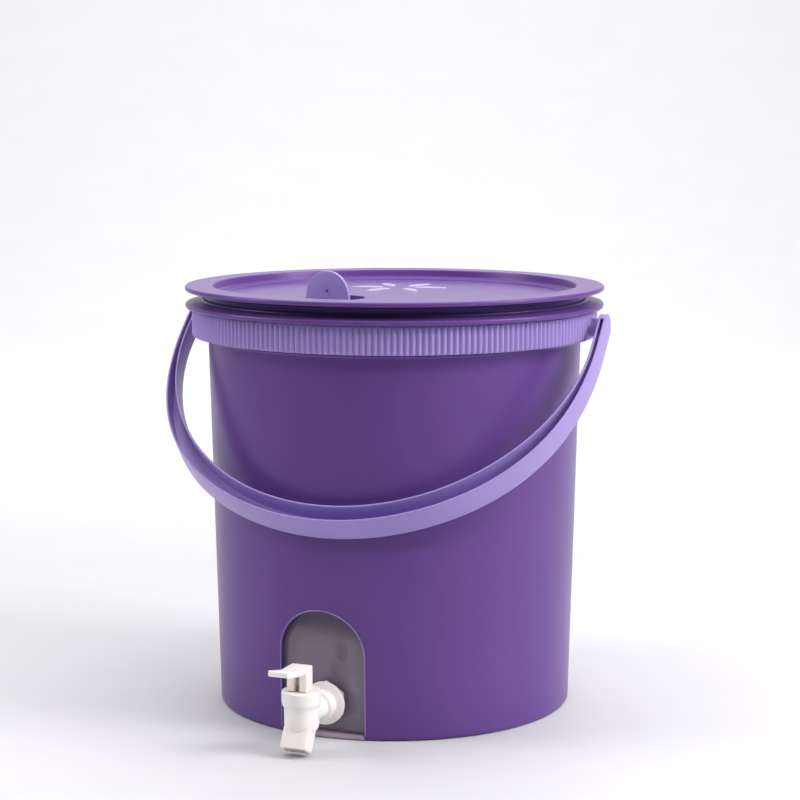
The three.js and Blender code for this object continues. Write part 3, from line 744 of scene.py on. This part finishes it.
LID_FLOOR = 264.2
WELL_FLOOR = 260.0
WELL_R = 18.0
WELL_OFFSET = 9.5  # from the flap's hinge line to the well's middle
FLAP_HALF = 16.5
FLAP_REACH = box_mm("vent_flap")[1].z - FLAP_HINGE.z
FLAP_THICKNESS = 2.6
HOLE_OFFSET = 6.6  # from the hinge line to the vent hole
FLAP_BARREL_R = 1.9
VENT_HOLE_R = 3.2
VENT_PIN_R = 0.8
VENT_PIN_HALF = 18.4
SKIRT_R = 119.2
SKIRT_INNER_R = 116.6


def at_vent(obj):
    return moved(obj, Matrix.Rotation(FLAP_TURN, 4, "Z"), shift(FLAP_HINGE.x, FLAP_HINGE.y, 0))


def well_outline(grow):
    """The well's plan about the flap's hinge: a disc to the rear and a straight-sided front."""
    front = -2.6 - grow
    side = FLAP_HALF + 0.4 + grow
    r = WELL_R + grow
    corner = 3.8
    outline = [(-side, front, 1.0), (side, front, 1.0), (side, corner, 0.3)]
    start = math.asin((corner - WELL_OFFSET) / r)
    for k in range(49):
        a = start + (math.pi - 2 * start) * k / 48
        outline.append((r * math.cos(a), WELL_OFFSET + r * math.sin(a)))
    outline.append((-side, corner, 0.3))
    return rounded(outline, closed=True, steps=3)


def add_lid():
    under = LID_FLOOR - 2
    skirt = lid_low.z + 0.6
    profile = rounded([
        (0, LID_FLOOR), (109.4, LID_FLOOR, 0.4), (109.9, LID_FLOOR + 1.0, 0.4),
        (114.6, LID_FLOOR + 1.2, 0.8), (116.4, LID_FLOOR + 2.1, 1.0), (117.3, LID_TOP, 1.1),
        (LID_R, LID_TOP, 1.7), (LID_R, LID_TOP - 3, 1.1), (SKIRT_R, LID_TOP - 3, 0.5),
        (SKIRT_R, skirt, 0.8), (SKIRT_INNER_R, skirt, 0.8), (SKIRT_INNER_R, under, 0.6),
        (0, under)])
    lid = lathe("lid", profile)
    shell = prism("shell", well_outline(2.5), lid_low.z, LID_FLOOR - 0.6)
    joined(lid, at_vent(shell))
    hollow = prism("hollow", well_outline(0), WELL_FLOOR, LID_TOP)
    hole = moved(rod("hole", VENT_HOLE_R, 250, LID_TOP, 48), shift(0, HOLE_OFFSET, 0))
    bore = cross_rod("bore", VENT_PIN_R + GAP, VENT_PIN_HALF + GAP, z=FLAP_HINGE.z)
    cut(lid, at_vent(hollow), at_vent(hole), at_vent(bore))
    piece(lid, "plug_lid", PURPLE, "tub_plastic", "lid_assembly", "lid")


PAD_RING = Vector((-16.0, 47.5, 0))  # middle of the ring of pads on the lid's floor
PAD_MIDDLE_R = 21.5
PAD_HALF_LENGTH = 11.0
PAD_HALF_WIDTH = 3.4


def add_lid_pads():
    """Six plain lens-shaped pads in a ring on the rear of the lid's floor; their pale colour is a
    painted highlight.
    """
    count = 6
    for i in range(count):
        outline = []
        for k in range(40):
            a = 2 * math.pi * k / 40
            width = PAD_HALF_WIDTH * math.sin(a) * (1 - 0.25 * math.cos(a))
            outline.append((PAD_HALF_LENGTH * math.cos(a), width))
        rings = [[(PAD_MIDDLE_R + x, y, LID_FLOOR - 0.05) for x, y in outline]]
        for inset, z in ((0.05, 0.3), (0.12, 0.5), (0.3, 0.62), (0.7, 0.7)):
            rings.append([(PAD_MIDDLE_R + x * (1 - inset), y * (1 - inset), LID_FLOOR + z)
                          for x, y in outline])
        pad = loft("pad", rings)
        moved(pad, turn(360 / count * i + 12, "Z"), Matrix.Translation(PAD_RING))
        piece(pad, "lid_pad_%d" % (i + 1), PALE_PAD_HIGHLIGHT, "tub_plastic", "lid_assembly")


def add_flap():
    half, thick = FLAP_HALF, FLAP_THICKNESS
    shoulder = FLAP_REACH - half
    outline = [(-half, 0.0), (half, 0.0)]
    for k in range(49):
        a = math.pi * k / 48
        outline.append((half * math.cos(a), shoulder + half * math.sin(a)))
    plate = prism("flap", outline, -thick / 2, thick / 2)
    softened(plate, 0.5, 50, 3)
    plug = moved(rod("plug", 2.0, -thick / 2 - 1.8, 0, 48, 0.5), shift(0, HOLE_OFFSET, 0))
    barrel = cross_rod("barrel", FLAP_BARREL_R, half, steps=48, edge=0.4)
    joined(plate, plug, barrel)
    dimple = lathe("dimple", rounded([(0, thick / 2 - 1.2), (1.0, thick / 2 - 1.2, 0.4),
                                      (1.5, thick / 2 + 0.5), (0, thick / 2 + 0.5)]), 48)
    ring_groove = lathe("groove", [(2.6, thick / 2 + 0.4), (2.9, thick / 2 - 0.25),
                                   (3.2, thick / 2 + 0.4)], 64, ring=True)
    bore = cross_rod("bore", VENT_PIN_R + GAP, 30)
    at_hole = shift(0, HOLE_OFFSET, 0)
    cut(plate, moved(dimple, at_hole), moved(ring_groove, at_hole), bore)
    moved(plate, turn(90, "X"), shift(0, 0, FLAP_HINGE.z))
    piece(at_vent(plate), "vent_flap_half_round", LAVENDER, "trim_plastic", "flap", "vent_flap")


# ---- tap ------------------------------------------------------------------------------------------

SHANK_R = 7.6
THREAD_ROOT_R = 6.8
THREAD_PITCH = 3
SHANK_END = 93
TAP_FLANGE_R = 13.4
TAP_NECK_R = 9.0
TAP_DISC_R = 9.7
TAP_ARM_R = 6.9
BARREL_R = 10.6
BARREL_TOP_Z = 35.7
CHAMBER_R = 8
SEAT_R = 3.5
TAP_BORE_R = 4
STEM_R = 3.0
SPOUT_HALF_WIDTH = 8.85
SPOUT_HALF_DEPTH = 6.0
SPOUT_WALL = 2.0
SPOUT_LENGTH = 18.6
SPOUT_SLANT = 30  # degrees forward of straight down
SPOUT_TOP_Z = 20
# the spout's rounded end, as (up from the end, share of the section)
SPOUT_END = ((0.9, 1.0), (0.25, 0.975), (0, 0.93))


def spout(name, inset, length):
    """The slanted spout or, with an inset, its passage."""
    half, deep = SPOUT_HALF_WIDTH - inset, SPOUT_HALF_DEPTH - inset
    corner = 3 - inset / 2
    outline = rounded([(-half, -deep, corner), (half, -deep, corner), (half, deep, corner),
                       (-half, deep, corner)], closed=True, steps=8)
    rings = [[(x, y, 0) for x, y in outline]]
    for up, share in SPOUT_END:
        size = 1.0 if inset else share
        rings.append([(x * size, y * size, up - length) for x, y in outline])
    return moved(loft(name, rings), turn(-SPOUT_SLANT, "X"), shift(0, BARREL_Y, SPOUT_TOP_Z))


def shank_profile():
    """The shank with its thread, the flange, the neck, the small disc and the arm."""
    profile = rounded([(0, SHANK_END), (THREAD_ROOT_R, SHANK_END, 0.3)])
    for k in range(4):
        start = SHANK_END + 1 + THREAD_PITCH * k
        profile += rounded([(THREAD_ROOT_R, start), (SHANK_R, start + 0.8, 0.2),
                            (SHANK_R, start + 1.4, 0.2), (THREAD_ROOT_R, start + 2.2)])
    profile += rounded([
        (THREAD_ROOT_R, 106), (SHANK_R, 106.4), (SHANK_R, 113.5), (TAP_FLANGE_R, 113.5, 0.5),
        (TAP_FLANGE_R, 116.2, 0.9), (TAP_NECK_R, 116.5, 0.5), (TAP_NECK_R, 120, 0.6),
        (TAP_DISC_R, 120.4, 0.5), (TAP_DISC_R, 124.6, 0.9), (TAP_ARM_R, 124.8, 0.7),
        (TAP_ARM_R, -BARREL_Y), (0, -BARREL_Y)])
    return profile


def barrel_profile():
    return rounded([(0, 13), (8.0, 13, 1.2), (BARREL_R - 0.4, 16, 1.5), (BARREL_R, 18.5, 2),
                    (BARREL_R, BARREL_TOP_Z, 0.5), (0, BARREL_TOP_Z)])


def above(z):
    """A block over the tap that takes away what lies above a height."""
    return block(-20, 20, -200, -120, z, 60)


def add_tap_body():
    at = shift(0, BARREL_Y, 0)
    chamber_floor, spout_top, passage_top = 18, 18.9, 16.2
    body = along_tap(lathe("tap", shank_profile(), SMALL))
    barrel = moved(lathe("barrel", barrel_profile(), SMALL), at)
    joined(body, barrel, cut(spout("spout", 0, SPOUT_LENGTH), above(spout_top)))
    chamber = moved(rod("chamber", CHAMBER_R, chamber_floor, BARREL_TOP_Z + 1.3), at)
    seat = moved(rod("seat", SEAT_R, 10, chamber_floor + 1), at)
    bore = along_tap(rod("bore", TAP_BORE_R, SHANK_END - 1, -BARREL_Y - 2))
    passage = cut(spout("passage", SPOUT_WALL, SPOUT_LENGTH + 1), above(passage_top))
    cut(body, chamber, seat, bore, passage)
    piece(body, "tap_casting", WHITE, "tap_plastic", "bucket", "tap_body")


def hex_nut(name, corner_r, start, end, node_name):
    outline = [(corner_r * math.cos(math.pi * (k / 3 + 1 / 6)),
                corner_r * math.sin(math.pi * (k / 3 + 1 / 6))) for k in range(6)]
    nut = softened(prism("nut", outline, start, end), 0.5, 30)
    length = end - start
    shape = lathe("shape", rounded([(0, start), (corner_r - 0.9, start), (corner_r + 0.2, start + 0.8),
                                    (corner_r + 0.2, end - 0.8), (corner_r - 0.9, end), (0, end)]))
    combined(nut, "INTERSECT", shape)
    chamfer = 0.5 if length > 3 else 0.3
    flare = TAP_HOLE_R + chamfer + 1
    hole = lathe("hole", [(0, start - 1), (flare, start - 1), (TAP_HOLE_R, start + chamfer),
                          (TAP_HOLE_R, end - chamfer), (flare, end + 1), (0, end + 1)], SMALL)
    cut(nut, hole)
    piece(along_tap(nut), name, WHITE, "tap_plastic", "bucket", node_name)


def add_gaskets():
    inner, outer = TAP_HOLE_R, 11.2
    for name, start, end in (("tap_outer_gasket", 108.8, 110.2), ("tap_inner_gasket", 101.7, 103.7)):
        section = rounded([(inner, start, 0.4), (outer, start, 0.5), (outer, end, 0.5),
                           (inner, end, 0.4)], closed=True)
        gasket = along_tap(lathe("gasket", section, SMALL, ring=True))
        piece(gasket, name + "_ring", SILICONE, "seal_silicone", "bucket", name)
    low, high = box_mm("lid_seal")
    inner, outer = 119.9, 121.6
    section = rounded([(inner, low.z, 0.3), (outer, low.z, 0.3), (outer, high.z, 0.3),
                       (inner, high.z, 0.3)], closed=True, steps=3)
    seal = lathe("seal", section, ring=True)
    piece(seal, "lid_seal_ring", SILICONE, "seal_silicone", "lid_assembly", "lid_seal")


def add_bonnet():
    low, high = bonnet_low.z, bonnet_high.z
    r = (bonnet_high.x - bonnet_low.x) / 2
    inner, hole_r, under = BARREL_R + GAP, STEM_R + 0.4, BARREL_TOP_Z + GAP
    section = rounded([(inner, low), (inner + 0.3, low), (r, low + 2.2, 0.8), (r, high, 1.0),
                       (hole_r, high, 0.4), (hole_r, under), (inner, under, 0.4)], closed=True)
    bonnet = moved(lathe("bonnet", section, SMALL, ring=True), shift(0, BARREL_Y, 0))
    piece(bonnet, "tap_bonnet_cap", WHITE, "tap_plastic", "bucket", "tap_bonnet")


def add_stem():
    at = shift(0, BARREL_Y, 0)
    low, high = box_mm("tap_stem")
    rod_top, half_blade, blade_reach = 37, 1.2, 3
    stem = moved(rod("stem", STEM_R, low.z, rod_top, 48, 0.4), at)
    blade = block(-half_blade, half_blade, LEVER_PIN.y - blade_reach, LEVER_PIN.y + blade_reach,
                  rod_top - 1, high.z)
    trim = moved(rod("trim", STEM_R + GAP, 0, 60, 48), at)
    joined(stem, combined(softened(blade, 0.25), "INTERSECT", trim))
    cut(stem, cross_rod("hole", 1.4, 10, LEVER_PIN.y, LEVER_PIN.z))
    piece(stem, "tap_stem_rod", AMBER, "tap_plastic", "valve", "tap_stem")
    z = box_mm("tap_seat_cup")[0].z
    cup = lathe("cup", rounded([
        (0, z), (4.2, z, 0.3), (6.2, z + 1.4, 0.4), (6.2, z + 2.6, 0.4), (4.9, z + 3.4, 0.4),
        (4.9, z + 5.4, 0.4), (STEM_R + GAP, z + 5.4, 0.2), (STEM_R + GAP, low.z - GAP),
        (0, low.z - GAP)]), 64)
    piece(moved(cup, at), "tap_seat_cup_soft", SILICONE, "seal_silicone", "valve", "tap_seat_cup")


def add_spring():
    low, high = box_mm("tap_spring")
    wire, r, turns = 0.5, 5.6, 4.5
    per_turn, around = 40, 12
    bottom, top = low.z + wire, high.z - wire
    count = int(per_turn * turns)
    rings = []
    for k in range(count + 1):
        t = k / count
        a = 2 * math.pi * turns * t
        out = Vector((math.cos(a), math.sin(a), 0))
        centre = out * r + Vector((0, BARREL_Y, bottom + (top - bottom) * t))
        rings.append([centre + out * wire * math.cos(b) + Vector((0, 0, wire * math.sin(b)))
                      for b in (2 * math.pi * j / around for j in range(around))])
    spring = loft("spring", rings)
    piece(spring, "tap_spring_coil", STEEL, "spring_steel", "valve", "tap_spring")
    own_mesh(spring)


LEVER_HALF = 6.4
LEVER_PIN_R = 1.2
SLOT_HALF = 1.8
SLOT_TOP_Z = 50.2


def add_lever():
    back, cheek, bend, tip = 145.8, 155.0, 163.0, 180.4
    z = LEVER_PIN.z
    foot = bonnet_high.z + 0.4
    side = rounded([
        (back, foot, 0.7), (cheek, foot, 0.8), (cheek, z + 6, 0.8), (bend, z + 6, 6),
        (tip, z + 9.5, 0.3), (tip + 0.6, z + 10.3, 0.4), (tip + 0.4, z + 12.5, 0.5),
        (tip - 0.4, z + 13.1, 0.5), (bend, z + 9.3, 6), (back + 1, z + 9.3, 0.8),
        (back, z + 8.4, 0.5)], closed=True, steps=6)
    body = prism("lever", side, -LEVER_HALF, LEVER_HALF)
    moved(body, turn(90, "X"), turn(-90, "Z"))
    slot = block(-SLOT_HALF, SLOT_HALF, -170, -130, 0, SLOT_TOP_Z)
    softened(cut(body, slot), 0.4, 50, 2)
    cut(body, cross_rod("hole", LEVER_PIN_R + 0.05, 10, LEVER_PIN.y, z))
    piece(body, "tap_push_lever", WHITE, "tap_plastic", "lever", "tap_lever")


def add_pins():
    lever_pin = cross_rod("pin", LEVER_PIN_R, LEVER_HALF, LEVER_PIN.y, LEVER_PIN.z, edge=0.1)
    piece(lever_pin, "lever_pin_round", WHITE, "tap_plastic", "lever", "tap_lever_pin")
    flap_pin = cross_rod("pin", VENT_PIN_R, VENT_PIN_HALF, z=FLAP_HINGE.z, edge=0.2)
    piece(at_vent(flap_pin), "flap_pin_round", STEEL, "spring_steel", "lid_assembly",
          "vent_flap_pin")


add_tub()
add_arch_bead()
add_panel()
add_collar()
add_bail()
add_studs()
add_lid()
add_lid_pads()
add_flap()
add_tap_body()
hex_nut("tap_lock_nut", 13.4, 110.5, 113.2, "tap_hex_nut")
hex_nut("tap_back_nut", 14.6, 96, 101.4, "tap_backnut")
add_gaskets()
add_bonnet()
add_stem()
add_spring()
add_lever()
add_pins()
